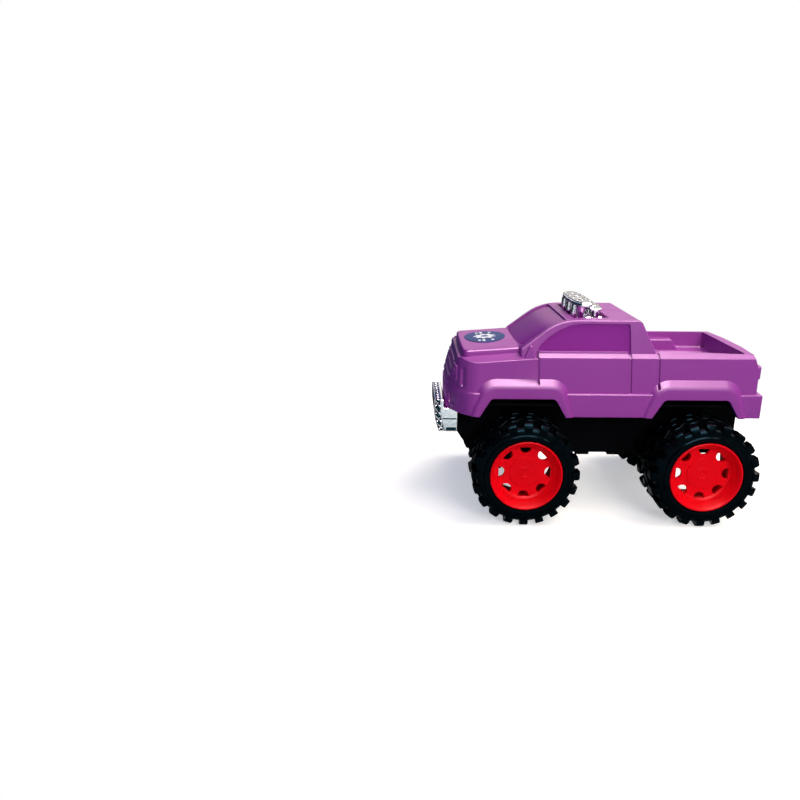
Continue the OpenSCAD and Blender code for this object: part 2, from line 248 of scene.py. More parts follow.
def combine(base, tool, how):
    # joins, cuts or intersects two closed shapes and returns the result as a new bmesh
    things = [asObject(base), asObject(tool)]
    work = things[0].modifiers.new("combine", "BOOLEAN")
    work.operation, work.solver, work.object = how, "EXACT", things[1]
    result = bmesh.new()
    result.from_object(things[0], bpy.context.evaluated_depsgraph_get())
    for thing in things:
        mesh = thing.data
        bpy.data.objects.remove(thing)
        bpy.data.meshes.remove(mesh)
    base.free()
    tool.free()
    bmesh.ops.remove_doubles(result, verts=result.verts, dist=1e-4)
    return result


def united(bm, *blocks):
    for block in blocks:
        bm = combine(bm, block, "UNION")
    return bm


def cutBy(bm, *tools):
    for tool in tools:
        bm = combine(bm, tool, "DIFFERENCE")
    return bm


def join(shapes):
    # puts several shapes into one bmesh as they are
    whole = bmesh.new()
    for shape in shapes:
        mesh = bpy.data.meshes.new("part")
        shape.to_mesh(mesh)
        whole.from_mesh(mesh)
        bpy.data.meshes.remove(mesh)
        shape.free()
    return whole


def pair(bm):
    # a shape with its copy on the other side of the truck
    other = bm.copy()
    bmesh.ops.scale(other, vec=(1, -1, 1), verts=other.verts)
    bmesh.ops.reverse_faces(other, faces=other.faces)
    return [other, bm]


def turned(bm, angle, axis="Z", centre=(0, 0, 0)):
    bmesh.ops.rotate(bm, cent=centre, matrix=Matrix.Rotation(radians(angle), 3, axis), verts=bm.verts)
    return bm


def ringOf(bm, count):
    # repeats a shape evenly round the z axis
    copies = [turned(bm.copy(), 360 * i / count) for i in range(count)]
    bm.free()
    return join(copies)


def finishPiece(bm, name, surfaces, nodes=(), body="truck", crease=32):
    # brings a shape to metres, smooths it between its creases and hangs it on its body
    bmesh.ops.scale(bm, vec=(mm, mm, mm), verts=bm.verts)
    for face in bm.faces:
        face.smooth = True
    for edge in bm.edges:
        edge.smooth = len(edge.link_faces) == 2 and degrees(edge.calc_face_angle(0)) < crease
    piece = asObject(bm, name)
    bm.free()
    for surface in surfaces:
        piece.data.materials.append(surface)
    weighted = piece.modifiers.new("evenNormals", "WEIGHTED_NORMAL")
    weighted.keep_sharp = True
    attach(piece, body)
    if nodes:
        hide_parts(*nodes)
    print("made", name, len(piece.data.polygons), "faces")


# finishes

def feed(tree, socket, value):
    # a socket takes a number, a colour or what another node gives out
    if isinstance(value, bpy.types.NodeSocket):
        tree.links.new(value, socket)
    else:
        socket.default_value = value


def addNode(tree, kind, *values, **settings):
    # settings are the node's own or its sockets by name, values go to its sockets in order
    node = tree.nodes.new("ShaderNode" + kind)
    for key, value in settings.items():
        if key in node.inputs:
            feed(tree, node.inputs[key], value)
        else:
            setattr(node, key, value)
    for socket, value in zip(node.inputs, values):
        feed(tree, socket, value)
    return node


def newSurface(name, sockets):
    surface = bpy.data.materials.new(name)
    surface.use_nodes = True
    shader = surface.node_tree.nodes["Principled BSDF"]
    for key, value in sockets.items():
        shader.inputs[key].default_value = value
    return surface, surface.node_tree, shader


def addNoise(tree, scale, detail=3.0):
    spot = addNode(tree, "TexCoord").outputs["Object"]
    return addNode(tree, "TexNoise", Vector=spot, Scale=scale, Detail=detail).outputs["Fac"]


def spread(tree, source, low, high, fromLow=0.3, fromHigh=0.7):
    return addNode(tree, "MapRange", source, fromLow, fromHigh, low, high).outputs["Result"]


def product(tree, one, two):
    return addNode(tree, "Math", one, two, operation="MULTIPLY").outputs[0]


def blend(tree, kind, share, one, two):
    # one, or two where share is 1
    return addNode(tree, "Mix", data_type=kind, Factor=share, A=one, B=two).outputs["Result"]


def addBump(tree, shader, height, strength=1.0):
    bump = addNode(tree, "Bump", Strength=strength, Distance=0.001, Height=height)
    feed(tree, shader.inputs["Normal"], bump.outputs["Normal"])


def uneven(tree, shader, look):
    # colour and gloss that wander a little over the surface
    patches = spread(tree, addNoise(tree, look["patch"]), 0, 1)
    colour = blend(tree, "RGBA", patches, (*look["colour"], 1), (*look["deepColour"], 1))
    feed(tree, shader.inputs["Base Color"], colour)
    low, high, scale = look["rough"]
    feed(tree, shader.inputs["Roughness"], spread(tree, addNoise(tree, scale, 5), low, high))


def mouldedPlastic(name, look):
    # a moulded surface with a faint flow ripple and a fine grain
    coat, coatRoughness = look.get("coat", (0, 0.1))
    surface, tree, shader = newSurface(name, {
        "Specular IOR Level": look["specular"], "Specular Tint": (*look.get("tint", (1, 1, 1)), 1),
        "Coat Weight": coat, "Coat Roughness": coatRoughness})
    uneven(tree, shader, look)
    (height, scale), (grain, fineScale) = look["ripple"], look["grain"]
    fine = product(tree, addNoise(tree, fineScale, 2), grain)
    ripple = addNode(tree, "Math", addNoise(tree, scale, 1), height, fine, operation="MULTIPLY_ADD")
    addBump(tree, shader, ripple.outputs[0])
    return surface


def brightMetal(name, look):
    surface, tree, shader = newSurface(name, {"Metallic": 1})
    uneven(tree, shader, look)
    height, scale = look["ripple"]
    addBump(tree, shader, addNoise(tree, scale, 2), height)
    return surface


# patch is the scale of the colour patches, rough is (low, high, scale), ripple and grain are (height, scale)
purplePlastic = mouldedPlastic("purplePlastic", {
    "colour": (0.272, 0.021, 0.274), "deepColour": (0.25, 0.018, 0.256), "patch": 18, "specular": 0.38,
    "rough": (0.38, 0.47, 60), "ripple": (0.12, 45), "grain": (0.010, 2600), "coat": (0.03, 0.14)})
purplePane = mouldedPlastic("purplePane", {
    "colour": (0.268, 0.030, 0.268), "deepColour": (0.25, 0.027, 0.25), "patch": 18, "specular": 0.02,
    "rough": (0.07, 0.12, 60), "ripple": (0.10, 30), "grain": (0.002, 2600)})
redPlastic = mouldedPlastic("redPlastic", {
    "colour": (0.86, 0.0006, 0.007), "deepColour": (0.77, 0.0006, 0.007), "patch": 40, "specular": 0.09,
    "tint": (1, 0.5, 0.5), "rough": (0.34, 0.44, 90), "ripple": (0.08, 90), "grain": (0.012, 3000)})
blackPlastic = mouldedPlastic("blackPlastic", {
    "colour": (0.0008, 0.001, 0.0015), "deepColour": (0.0016, 0.002, 0.003), "patch": 30, "specular": 0.02,
    "rough": (0.42, 0.55, 80), "ripple": (0.10, 60), "grain": (0.03, 2400)})
# the teal specular tint paints a teal colour into the tyre's highlights, a painted reflection
tyrePlastic = mouldedPlastic("tyrePlastic", {
    "colour": (0.0006, 0.0009, 0.0012), "deepColour": (0.0012, 0.0018, 0.0024), "patch": 60,
    "specular": 0.045, "tint": (0.2, 0.7, 1.0), "rough": (0.12, 0.22, 110), "ripple": (0.10, 120),
    "grain": (0.02, 2200)})
badgeBlue = mouldedPlastic("badgeBlue", {
    "colour": (0.003, 0.036, 0.17), "deepColour": (0.003, 0.029, 0.145), "patch": 200, "specular": 0.04,
    "rough": (0.30, 0.38, 300), "ripple": (0.05, 240), "grain": (0.005, 3000)})
badgePale = mouldedPlastic("badgePale", {
    "colour": (0.78, 0.80, 0.82), "deepColour": (0.66, 0.69, 0.73), "patch": 300, "specular": 0.1,
    "rough": (0.28, 0.38, 300), "ripple": (0.05, 240), "grain": (0.005, 3000)})
plating = brightMetal("plating", {
    "colour": (0.70, 0.72, 0.74), "deepColour": (0.60, 0.64, 0.68), "patch": 120,
    "rough": (0.05, 0.14, 260), "ripple": (0.14, 420)})
# dark teal plating that paints the shade and the dark reflections in the push bar's lattice gaps and grooves
paintedShadePlating = brightMetal("paintedShadePlating", {
    "colour": (0.010, 0.045, 0.060), "deepColour": (0.004, 0.012, 0.018), "patch": 260,
    "rough": (0.12, 0.26, 260), "ripple": (0.10, 420)})
drawnSteel = brightMetal("drawnSteel", {
    "colour": (0.55, 0.55, 0.56), "deepColour": (0.42, 0.42, 0.43), "patch": 300,
    "rough": (0.22, 0.36, 900), "ripple": (0.05, 1400)})
print("finishes ready")


# body shell

shell = {
    "halfWidth": 40.0, "skirtOut": 1.5, "skirtHeight": 15.3, "noseBow": 16.0, "cornerReach": 4.6,
    "cabHeight": 20.5, "chamferY": 2.4, "chamferZ": 2.5, "wall": 2.0, "sunk": 0.9, "softEdge": 0.32,
    "hoodHalf": 33.0, "hoodBow": 1.4, "hoodCrown": 1.4, "hoodFall": (2.3, 31), "cabBow": 3.9,
    "cabBowHalf": 38.0, "postRadius": 3.0, "postY": 12.0}
noseX = shellHigh.x
bumperX = shellLow.x
tailX = bumperX + 1.5
bodyZ = shellLow.z
roofZ = shellHigh.z
beltZ = roofZ - shell["cabHeight"]
lipZ = bodyZ + shell["skirtHeight"]
doorX = frontAxle.x - 7.7
cowlX = frontAxle.x + 6.5
hoodX = frontAxle.x + 38
cabRearX = rearAxle.x + 28.9
doorRearX = rearAxle.x + 44.6
roofFrontX = frontAxle.x - 31.5


def softCorner(points, index, reach):
    # the corner and what lies within reach of it give way to a curve
    corner = Vector(points[index])
    ends = []
    for step in (-1, 1):
        k = index
        while (Vector(points[k + step]) - corner).length < reach:
            k += step
        last, beyond = Vector(points[k]), Vector(points[k + step])
        share = (reach - (last - corner).length) / (beyond - last).length
        ends.append((k, last.lerp(beyond, share)))
    (first, start), (final, end) = ends
    return points[:first] + bendPoints(start, corner, end, 6) + points[final + 1:]


def planOutline(half, back, inset=0.0, tailBow=4.0, steps=16):
    # plan view with a bowed nose and tail and softened nose corners, made as one side and its mirror image
    side = [(noseX - shell["noseBow"] * (i / steps) ** 3, half * i / steps) for i in range(steps + 1)]
    side += [(back + tailBow * (i / steps) ** 2, half * i / steps) for i in range(steps, -1, -4)]
    side = softCorner(side, steps, shell["cornerReach"])
    return insetOutline([(x, -y) for x, y in side[-2:0:-1]] + side, inset)


fender = {"innerY": 33.0, "slope": (-0.078, -0.44, -1), "noseDrop": 4.4}


def fenderCutters(inset):
    # what is taken off above the front fenders and ahead of the hood
    inner, ahead, top = fender["innerY"] - 0.5, noseX + 20, beltZ + 12
    bm = cuboid((doorX, inner, beltZ - 20), (ahead, 60, top))
    sliceOff(bm, (doorX, fender["innerY"], beltZ), fender["slope"], -inset)
    ledge = cuboid((hoodX - 4, -inner - 0.5, beltZ - fender["noseDrop"] - inset), (ahead, inner + 0.5, top))
    return pair(bm) + [ledge]


def mainBlock(inset=0.0):
    half, out, down = shell["halfWidth"], shell["chamferY"], shell["chamferZ"]
    bm = prism(planOutline(half, tailX, inset), "z", bodyZ - 4 if inset else bodyZ, beltZ - inset)
    slopes = [((noseX, 0, lipZ), (21.2, 0, 7.8)), ((tailX, 0, beltZ - 8), (-8, 0, 5.5))]
    for side in (1, -1):
        slopes += [((0, side * half, beltZ - down), (0, side * down, out)),
                   ((tailX + 3.9, side * half, beltZ - 10.3), (-1, side * 0.1, 0.4))]
    for point, normal in slopes:
        sliceOff(bm, point, normal, inset)
    return cutBy(bm, *fenderCutters(inset))


def skirtBlock(inset=0.0):
    outline = planOutline(shell["halfWidth"] + shell["skirtOut"], bumperX, inset, 2.0)
    return prism(outline, "z", bodyZ - inset, lipZ - inset)


def crowned(y):
    # how far the middle of the hood stands above its edges
    return shell["hoodCrown"] * (1 - (y / shell["hoodHalf"]) ** 2)


def hoodBlock(inset=0.0):
    half, rearX, steps = shell["hoodHalf"] - inset, doorX - 6, 6
    front = [(hoodX + 1.6 - inset - shell["hoodBow"] * abs(i / steps) ** 3, half * i / steps)
             for i in range(-steps, steps + 1)]
    bm = prism([(rearX, -half)] + front + [(rearX, half)], "z", beltZ - 8, beltZ + 8)
    fall, run = shell["hoodFall"]
    sliceOff(bm, (hoodX, 0, beltZ + 0.17), (fall, 0, run), inset)
    for i in range(1 - steps, steps):
        slicePlane(bm, (0, i * half / steps, 0), (0, 1, 0))
    for v in bm.verts:
        if v.co.z > beltZ - 4:
            v.co.z += crowned(v.co.y)
    if not inset:
        upright = lambda e: highest(e) - lowest(e) > 5 and e.verts[0].co.x > cowlX
        roundEdges(bm, 3.2, 4, sharp=40, chosen=upright)
        roundEdges(bm, 1.5, 4, over=beltZ - 1)
    return bm


def cabOutline():
    # side view: straight windshield, curved header, flat roof, raked back
    foot, knee, header = (cowlX, beltZ + 2.5), (frontAxle.x - 9.2, beltZ + 13.4), (roofFrontX, roofZ)
    base = beltZ - 8
    back = [(rearAxle.x + 40.5, roofZ), (rearAxle.x + 38.4, roofZ - 1.6), (cabRearX, beltZ), (cabRearX, base)]
    return [(cowlX, base), foot] + bendPoints(knee, (frontAxle.x - 18.5, roofZ - 0.3), header, 8) + back


def bowed(x, y, share=1.0):
    # how far a point of the windshield is pulled back towards the pillars
    return x - shell["cabBow"] * share * min(1.3, abs(y) / shell["cabBowHalf"]) ** 3


def cabBlock(inset=0.0):
    bm = prism(insetOutline(cabOutline(), inset), "y", -45, 45)
    for i in range(-7, 8):
        slicePlane(bm, (0, i * 5.2, 0), (0, 1, 0))
    for v in bm.verts:
        if v.co.x > roofFrontX:
            v.co.x = bowed(v.co.x, v.co.y, min(1.0, (v.co.x - roofFrontX) / (cowlX - roofFrontX)))
    foot = shell["halfWidth"] - shell["chamferY"]
    for side in (1, -1):
        sliceOff(bm, (0, side * foot, beltZ), (0, side * 18.2, 1.9), inset)
    if not inset:
        roundEdges(bm, 2.4, 5, sharp=30, chosen=lambda e: highest(e) > beltZ - 7)
    return bm


def trapezoid(foot, top, z0, z1, r):
    # an outline that stands on z0 with rounded upper corners
    lean, rise = foot - top, z1 - z0
    leg = hypot(lean, rise)
    lean, rise = lean / leg, rise / leg
    along = (z1 - z0 - r + r * lean) / rise
    centre = (foot - along * lean - r * rise, z1 - r)
    arc = arcPoints(centre, r, degrees(atan2(lean, rise)), 90, 7)
    return [(foot, z0)] + arc + [(-x, z) for x, z in reversed(arc)] + [(-foot, z0)]


arches = {"places": (frontAxle.x + 0.6, rearAxle.x + 2.5), "foot": 27.6, "top": 20.0, "height": 12.0,
          "round": 3.5, "faceHeight": 19.5}


def flareBlock(x):
    high = bodyZ + arches["faceHeight"]
    rings = [(shell["halfWidth"] - 1.5, trapezoid(34.4, 27.2, bodyZ, high + 6.9, 14)),
             (shellHigh.y, trapezoid(31, 23.5, bodyZ, high, 9))]
    bm = hull([(x + a, y, z) for y, outline in rings for a, z in outline])
    bmesh.ops.dissolve_limit(bm, angle_limit=radians(1), verts=bm.verts, edges=bm.edges)
    onFace = lambda e: lowest(e, 1) > shellHigh.y - 0.01 and highest(e) > bodyZ + 1
    return roundEdges(outwards(bm), 1.6, 4, sharp=12, chosen=onFace)


def archCutter(x):
    outline = trapezoid(arches["foot"], arches["top"], bodyZ - 1, bodyZ + arches["height"], arches["round"])
    return prism([(x + a, z) for a, z in outline], "y", -60, 60)


panes = {"windshieldHalf": 32.5, "backHalf": 28.0, "corner": 1.6}


def windowStamps():
    half, wide, corner = panes["windshieldHalf"], panes["backHalf"], panes["corner"]
    lower = [(bowed(cowlX - 2.2, y), y) for y in (-half, -24, -14, 0, 14, 24, half)]
    top = frontAxle.x - 25.0
    windshield = lower + [(top, half - 0.5), (top, 0.5 - half)]
    low, high = beltZ + 1.2, roofZ - 2.6
    pillar = ((7.9, low), (8.0, low + 2.6), (14.1, beltZ + 9.9), (20.6, beltZ + 14.1), (27.0, beltZ + 17.0),
              (33.0, high))
    side = [(doorRearX + 0.3, low)] + [(frontAxle.x - x, z) for x, z in pillar] + [(doorRearX + 1.7, high)]
    low, high = beltZ + 4, roofZ - 4.5
    back = [(-wide, low), (wide, low), (wide - 1.5, high), (1.5 - wide, high)]
    return [roundedPrism(windshield, "z", beltZ - 1, roofZ + 5, corner),
            *pair(roundedPrism(side, "y", 30, 45, 0.9, 3)),
            roundedPrism(back, "x", cabRearX - 8, rearAxle.x + 42, corner)]


gaps = {"half": 0.6, "lean": 1.7, "places": (doorX + 0.4, doorRearX + 0.7, cabRearX - 1.0)}


def leaningGap(foot, low, high, inner, outer):
    # a gap in the side that leans back a little towards the sill
    half, top = gaps["half"], foot + gaps["lean"]
    return pair(prism([(foot - half, low), (foot + half, low), (top + half, high), (top - half, high)],
                      "y", inner, outer))


def gapStamps():
    # door gaps and the gap between cab and bed
    made = []
    for x in gaps["places"]:
        made += leaningGap(x - gaps["lean"], lipZ + 0.4, beltZ + 1, 36.6, 42)
    return made


nose = {"panelHalf": 32.0, "panelTop": 98.0, "barHalf": 18.0, "bars": 3, "barHeight": 3.3,
        "lamp": (20.5, 84.5, 30.0, 95.0), "lensRadius": 3.9}


def noseStamps():
    # slots beyond the lamps, a groove round each lens, and the panel with its bars and lamps left standing
    x0, x1, foot, half = hoodX - 6, noseX + 10, lipZ + 0.8, nose["barHalf"]
    panel = rectangle(-nose["panelHalf"], foot, nose["panelHalf"], nose["panelTop"])
    panel = roundedPrism(panel, "x", x0, x1, 1.6)
    pitch = (nose["panelTop"] - foot - 3) / nose["bars"]
    for i in range(nose["bars"]):
        z = foot + 2 + i * pitch
        bar = rectangle(-half, z, half, z + nose["barHeight"])
        panel = cutBy(panel, roundedPrism(bar, "x", x0 - 1, x1 + 1, 0.5, 2))
    panel = cutBy(panel, *pair(softBlock(nose["lamp"], 1.4, "x", x0 - 1, x1 + 1)))
    inner, low, outer, high = nose["lamp"]
    y, z, r = (inner + outer) / 2, (low + high) / 2, nose["lensRadius"]
    ring = cutBy(rod((x0, y, z), (x1, y, z), r, 32), rod((x0 - 1, y, z), (x1 + 1, y, z), r - 0.6, 32))
    slot = softBlock((33.4, foot + 1.4, 36.6, 94), 1.2, "x", hoodX - 14, x1)
    return pair(slot), [panel] + pair(ring)


def bumperStamps():
    # a slot and two fog lamp pockets in the front bumper, and two step pads in the rear one
    slot = softBlock((-12, bodyZ + 4.5, 12, bodyZ + 8.5), 1.2, "x", noseX - 8, noseX + 4)
    pocket = softBlock((22.5, bodyZ + 4.2, 30.5, bodyZ + 10.8), 1.6, "x", noseX - 14, noseX + 4)
    pad = softBlock((16, bodyZ + 4.5, 33, bodyZ + 10), 1.2, "x", bumperX - 4, bumperX + 8)
    return [slot] + pair(pocket) + pair(pad)


def tailStamps():
    # the tailgate panel, its handle cup and the two gate gaps
    x0, x1 = tailX - 4, tailX + 8
    panel = cutBy(softBlock((-25, lipZ + 4, 25, beltZ - 5), 2, "x", x0, x1),
                  softBlock((-7, beltZ - 10.4, 7, beltZ - 4), 0.9, "x", x0 - 1, x1 + 1))
    cup = softBlock((-5.6, beltZ - 9.4, 5.6, beltZ - 6.4), 0.9, "x", x0, x1)
    return [panel, cup] + pair(cuboid((x0, 30.5, lipZ + 0.6), (x1, 31.5, beltZ + 1)))


bed = {"half": 35.6, "depth": 11.6, "humpIn": 28.0, "humpRise": 7.7, "ribs": 9, "ribHeight": 0.6}
bedZ = beltZ - bed["depth"]
bedBack = tailX + 12.0


def bedCutter():
    bm = cuboid((bedBack, -bed["half"], bedZ), (cabRearX, bed["half"], beltZ + 30))
    return roundEdges(bm, 1.8, 4, chosen=lambda e: lowest(e) < beltZ + 20)


def bedHumps():
    # boxes over the rear wheels
    x0, x1, slope, high = rearAxle.x - 3.0, cabRearX + 1.5, 5.8, bedZ + bed["humpRise"]
    left = prism([(x0 - slope, bedZ - 1), (x1, bedZ - 1), (x1, high), (x0, high)], "y",
                 bed["humpIn"], bed["half"] + 1)
    shown = lambda e: highest(e) > bedZ and lowest(e, 1) < 30 and lowest(e, 0) < x1 - 1
    return pair(roundEdges(left, 1.4, 4, chosen=shown))


def bedRibs():
    # low ribs along the floor
    pitch = 2 * (bed["humpIn"] - 2) / bed["ribs"]
    made = []
    for i in range(bed["ribs"]):
        y = (i - (bed["ribs"] - 1) / 2) * pitch
        rib = cuboid((bedBack + 4, y - 1.1, bedZ - 1), (cabRearX - 3, y + 1.1, bedZ + bed["ribHeight"]))
        made.append(roundEdges(rib, 0.4, 2, over=bedZ))
    return made


recess = {"front": roofFrontX + 1.0, "rear": rearAxle.x + 57.0, "frontHalf": 28.0, "rearHalf": 26.0,
          "depth": 5.0}


def recessCutter(grow=0.0):
    x0, x1, foot = recess["rear"] - grow, recess["front"] + grow, roofZ - recess["depth"] - grow
    front, rear = recess["frontHalf"] + grow, recess["rearHalf"] + grow
    bm = prism([(x0, -rear), (x1, -front), (x1, front), (x0, rear)], "z", foot, roofZ + 20)
    return roundEdges(bm, 1.2, chosen=lambda e: lowest(e) < roofZ + 10)


pillarBlade = {beltZ - 4.4: ((-6.3, 34.0), (1.8, 34.0), (1.4, 39.4), (-6.0, 39.9)),
               beltZ + 4.7: ((-3.9, 35.6), (-2.6, 35.6), (-2.2, 39.0), (-4.0, 39.2))}


def bladeBlock():
    # the small blade at the foot of each windshield pillar, from its outlines at two heights
    bm = hull([(frontAxle.x + x, y, z) for z, outline in pillarBlade.items() for x, y in outline])
    return roundEdges(bm, 0.55, sharp=20, chosen=lambda e: highest(e) > beltZ)


def tailLamps():
    # rounded lamps that stand a little proud of the rear corners
    lamp = softBlock((33.2, beltZ - 15.8, 39.6, beltZ - 6.8), 1.5, "x", tailX + 2.7, tailX + 9)
    return pair(roundEdges(lamp, 0.7, chosen=lambda e: highest(e, 0) < tailX + 3))


def hollow():
    # the inside of the moulding, below the bed and the engine recess
    wall = shell["wall"]
    under = cuboid((tailX - 5, -60, bedZ - wall), (cabRearX + wall, 60, beltZ + 20))
    return cutBy(united(mainBlock(wall), hoodBlock(wall), cabBlock(wall)), under, recessCutter(wall))


def polishPanes(bm):
    # what lies just under the skin of the cab is moulded smoother
    block = cabBlock()
    skin = BVHTree.FromBMesh(block)
    block.free()
    for face in bm.faces:
        centre = face.calc_center_median()
        if centre.z > beltZ + 0.4:
            normal, gap = skin.find_nearest(centre)[1::2]
            if 0.5 * shell["sunk"] < gap < 1.6 * shell["sunk"] and normal.dot(face.normal) > 0.96:
                face.material_index = 1
    return bm


def buildShell():
    bm = roundEdges(mainBlock(), 0.9, sharp=28, over=lipZ)
    skirt = roundEdges(skirtBlock(), 1.1, sharp=28, over=lipZ - 1)
    bm = united(bm, skirt, hoodBlock(), cabBlock(), *tailLamps())
    for x in arches["places"]:
        bm = united(bm, *pair(flareBlock(x)))
    bm = united(bm, *pair(bladeBlock()))
    print("outer shape joined")
    depth = shell["sunk"]
    front, grille = noseStamps()
    cabGaps = leaningGap(doorRearX + 1.2, beltZ - 1, roofZ - 2.8, 30, 45)  # the rear door gap runs on upwards
    for skin, stamps in ((cabBlock(depth + 0.2), windowStamps() + cabGaps), (mainBlock(depth * 0.6), grille),
                         (mainBlock(depth), gapStamps() + front + tailStamps()),
                         (skirtBlock(depth), bumperStamps())):
        for stamp in stamps:  # a stamp cuts down to an inner copy of the skin
            bm = cutBy(bm, cutBy(stamp, skin.copy()))
        skin.free()
    print("windows, gaps, grille and tailgate cut")
    bm = united(cutBy(bm, bedCutter()), *bedHumps(), *bedRibs())
    bm = cutBy(bm, recessCutter(), hollow(), *[archCutter(x) for x in arches["places"]])
    for x, top in ((frontAxle.x + 24, beltZ - 1), (rearAxle.x - 19, bedZ - 1)):
        for y in (shell["postY"], -shell["postY"]):
            bm = united(bm, post(x, y, bodyZ + 8, top, shell["postRadius"]))
    print("bed, recess and inside cut")
    bmesh.ops.dissolve_degenerate(bm, dist=0.01, edges=bm.edges)
    return polishPanes(softenEdges(bm, shell["softEdge"], 28))


def closedShell(tries=5):
    # a cut drops a face now and then, so a shell that comes out open is built again
    for _ in range(tries):
        bm = buildShell()
        if sum(e.calc_length() for e in bm.edges if e.is_boundary) < 5:
            break
        print("the shell came out open and is built again")
    return bm


finishPiece(closedShell(), "bodyShell", [purplePlastic, purplePane], ["body_shell"])


# badge on the hood

badge = {"length": 27.0, "width": 36.0, "thick": 0.3, "print": 0.08, "gearRadius": 5.6, "toothLength": 1.9,
         "teeth": 9, "hub": 2.5, "barHalf": 0.9,
         "bars": ((10.2, 14.6, 1.5), (10.2, 13.2, 4.3), (10.2, 13.2, -4.3))}  # inner y, outer y, x


def buildBadge():
    # an oval of blue film with a plain gear wheel and bars printed on it
    low, high = nodeBox("hood_badge")
    lean = atan2(*shell["hoodFall"])
    top, foot, rise = badge["thick"], badge["thick"] - 0.05, badge["thick"] + badge["print"]
    rings = [0.1 * i for i in range(5)]
    upper = [(r, top) for r in rings] + [(0.496, top), (0.5, top - 0.1)]
    disc = lathe(upper + [(0.5, 0)] + [(r, 0) for r in reversed(rings)], 72)
    bmesh.ops.scale(disc, vec=(badge["length"], badge["width"], 1), verts=disc.verts)
    r0, r1 = badge["gearRadius"], badge["gearRadius"] + badge["toothLength"]
    outline = []
    for i in range(badge["teeth"]):
        for share, r in ((-0.30, r0), (-0.17, r1), (0.17, r1), (0.30, r0)):
            turn = 2 * pi * (i + share) / badge["teeth"]
            outline.append((r * cos(turn), r * sin(turn)))
    printed = [cutBy(prism(outline, "z", foot, rise), post(0, 0, top - 1, top + 1, badge["hub"], 32))]
    for y0, y1, x in badge["bars"]:
        printed += pair(softBlock((x - badge["barHalf"], y0, x + badge["barHalf"], y1), 0.5, "z", foot, rise))
    printed = join(printed)
    rest = high.z - top * cos(lean) - badge["length"] / 2 * sin(lean)
    centre = Vector(((low.x + high.x) / 2, 0, rest))
    for shape in (disc, printed):
        placed(shape, centre, Matrix.Rotation(lean, 4, "Y"))
        for v in shape.verts:
            v.co.z += crowned(v.co.y)
    finishPiece(disc, "hoodBadge", [badgeBlue], ["hood_badge"])
    finishPiece(printed, "badgePrint", [badgePale])


buildBadge()


# wheels, drawn with the axle along z, the outer face up and the outer edge of the tyre at z = 0

wheel = {"radius": 33.5, "width": 34.0, "bore": 22.3, "dish": 8.0, "disc": 2.0, "wall": 1.6, "capRadius": 9.5,
         "hubRadius": 4.5, "hubEnd": -40.6, "axleRadius": 1.5, "bowlShare": 0.745,
         "windows": 8, "windowRadius": 3.4, "windowShare": 0.71, "flatShare": 0.725}
tyre = {"carcass": 30.6, "lugs": 20, "lugSpan": 9.6, "lugFoot": 28.2, "blockFoot": 29.6, "beadRadius": 25.0}


def spunBlock(profile, angle, steps=3):
    # a block with the given (radius, height) profile over part of the wheel's turn
    bm = bmesh.new()
    turn = radians(angle)
    start, slant = cos(turn / 2), -sin(turn / 2)
    face = bm.faces.new([bm.verts.new((r * start, r * slant, z)) for r, z in profile])
    bmesh.ops.spin(bm, geom=[face] + face.edges[:] + face.verts[:], cent=(0, 0, 0), axis=(0, 0, 1),
                   angle=turn, steps=steps, use_merge=False)
    return outwards(bm)


def twisted(bm, turnAt):
    # turns each vertex about the axle by what turnAt gives for it
    for v in bm.verts:
        v.co.xy = Matrix.Rotation(turnAt(v), 2) @ v.co.xy
    return bm


def shoulderLug():
    r, foot, base = wheel["radius"], tyre["lugFoot"], tyre["blockFoot"]
    outer = [(r - 1.6, -1.1), (r - 0.25, -2.3), (r, -3.4), (r - 0.1, -9.2)]
    bm = spunBlock([(foot, -1.4), (foot + 0.3, -0.5)] + outer + [(base, -9.9), (base, -3.4)], tyre["lugSpan"])
    # a lug narrows towards the crown
    twisted(bm, lambda v: -atan2(v.co.y, v.co.x) * 0.24 * max(0.0, (-v.co.z - 3.0) / 7.0))
    return roundEdges(bm, 0.45, 2, sharp=35, chosen=lambda e: min(radii(e)) > base + 0.1)


def crownBlock(z0, z1, skew):
    r, base = wheel["radius"] - 0.5, tyre["blockFoot"]
    bm = spunBlock([(base, z0), (r, z0 + 0.3), (r, z1 - 0.3), (base, z1)], 7.4, 2)
    twisted(bm, lambda v: radians(skew * (v.co.z - (z0 + z1) / 2)))
    return roundEdges(bm, 0.35, 1, sharp=35, chosen=lambda e: min(radii(e)) > base + 0.1)


def buildTyre():
    middle, bore, bead, crown = -wheel["width"] / 2, wheel["bore"], tyre["beadRadius"], tyre["carcass"]
    half = [(bore, middle), (bore, -1.2), (bore + 0.7, -0.35), (bead - 0.6, -0.1)]
    half += [(bead + r, z) for r, z in ((0.1, 0.0), (0.6, -0.1), (0.9, -0.6), (1.3, -1.0), (2.4, -0.9))]
    half += [(crown - r, z) for r, z in ((1.7, -1.2), (0.5, -2.1), (0.1, -3.8), (0, -6.5), (-0.3, middle))]
    profile = half + [(r, 2 * middle - z) for r, z in reversed(half[1:-1])]
    shapes = [lathe(profile + [profile[0]], 96)]
    step = 360 / tyre["lugs"]
    outer = ringOf(shoulderLug(), tyre["lugs"])
    inner = turned(outer.copy(), 180, "X", (0, 0, middle))
    shapes += [outer, turned(inner, step / 2)]
    for z0, z1, skew, phase in ((-16.4, -10.6, 1.6, 0.5), (-23.4, -17.6, -1.6, 0.0)):
        shapes.append(turned(ringOf(crownBlock(z0, z1, skew), tyre["lugs"]), step * phase))
    return join(shapes)


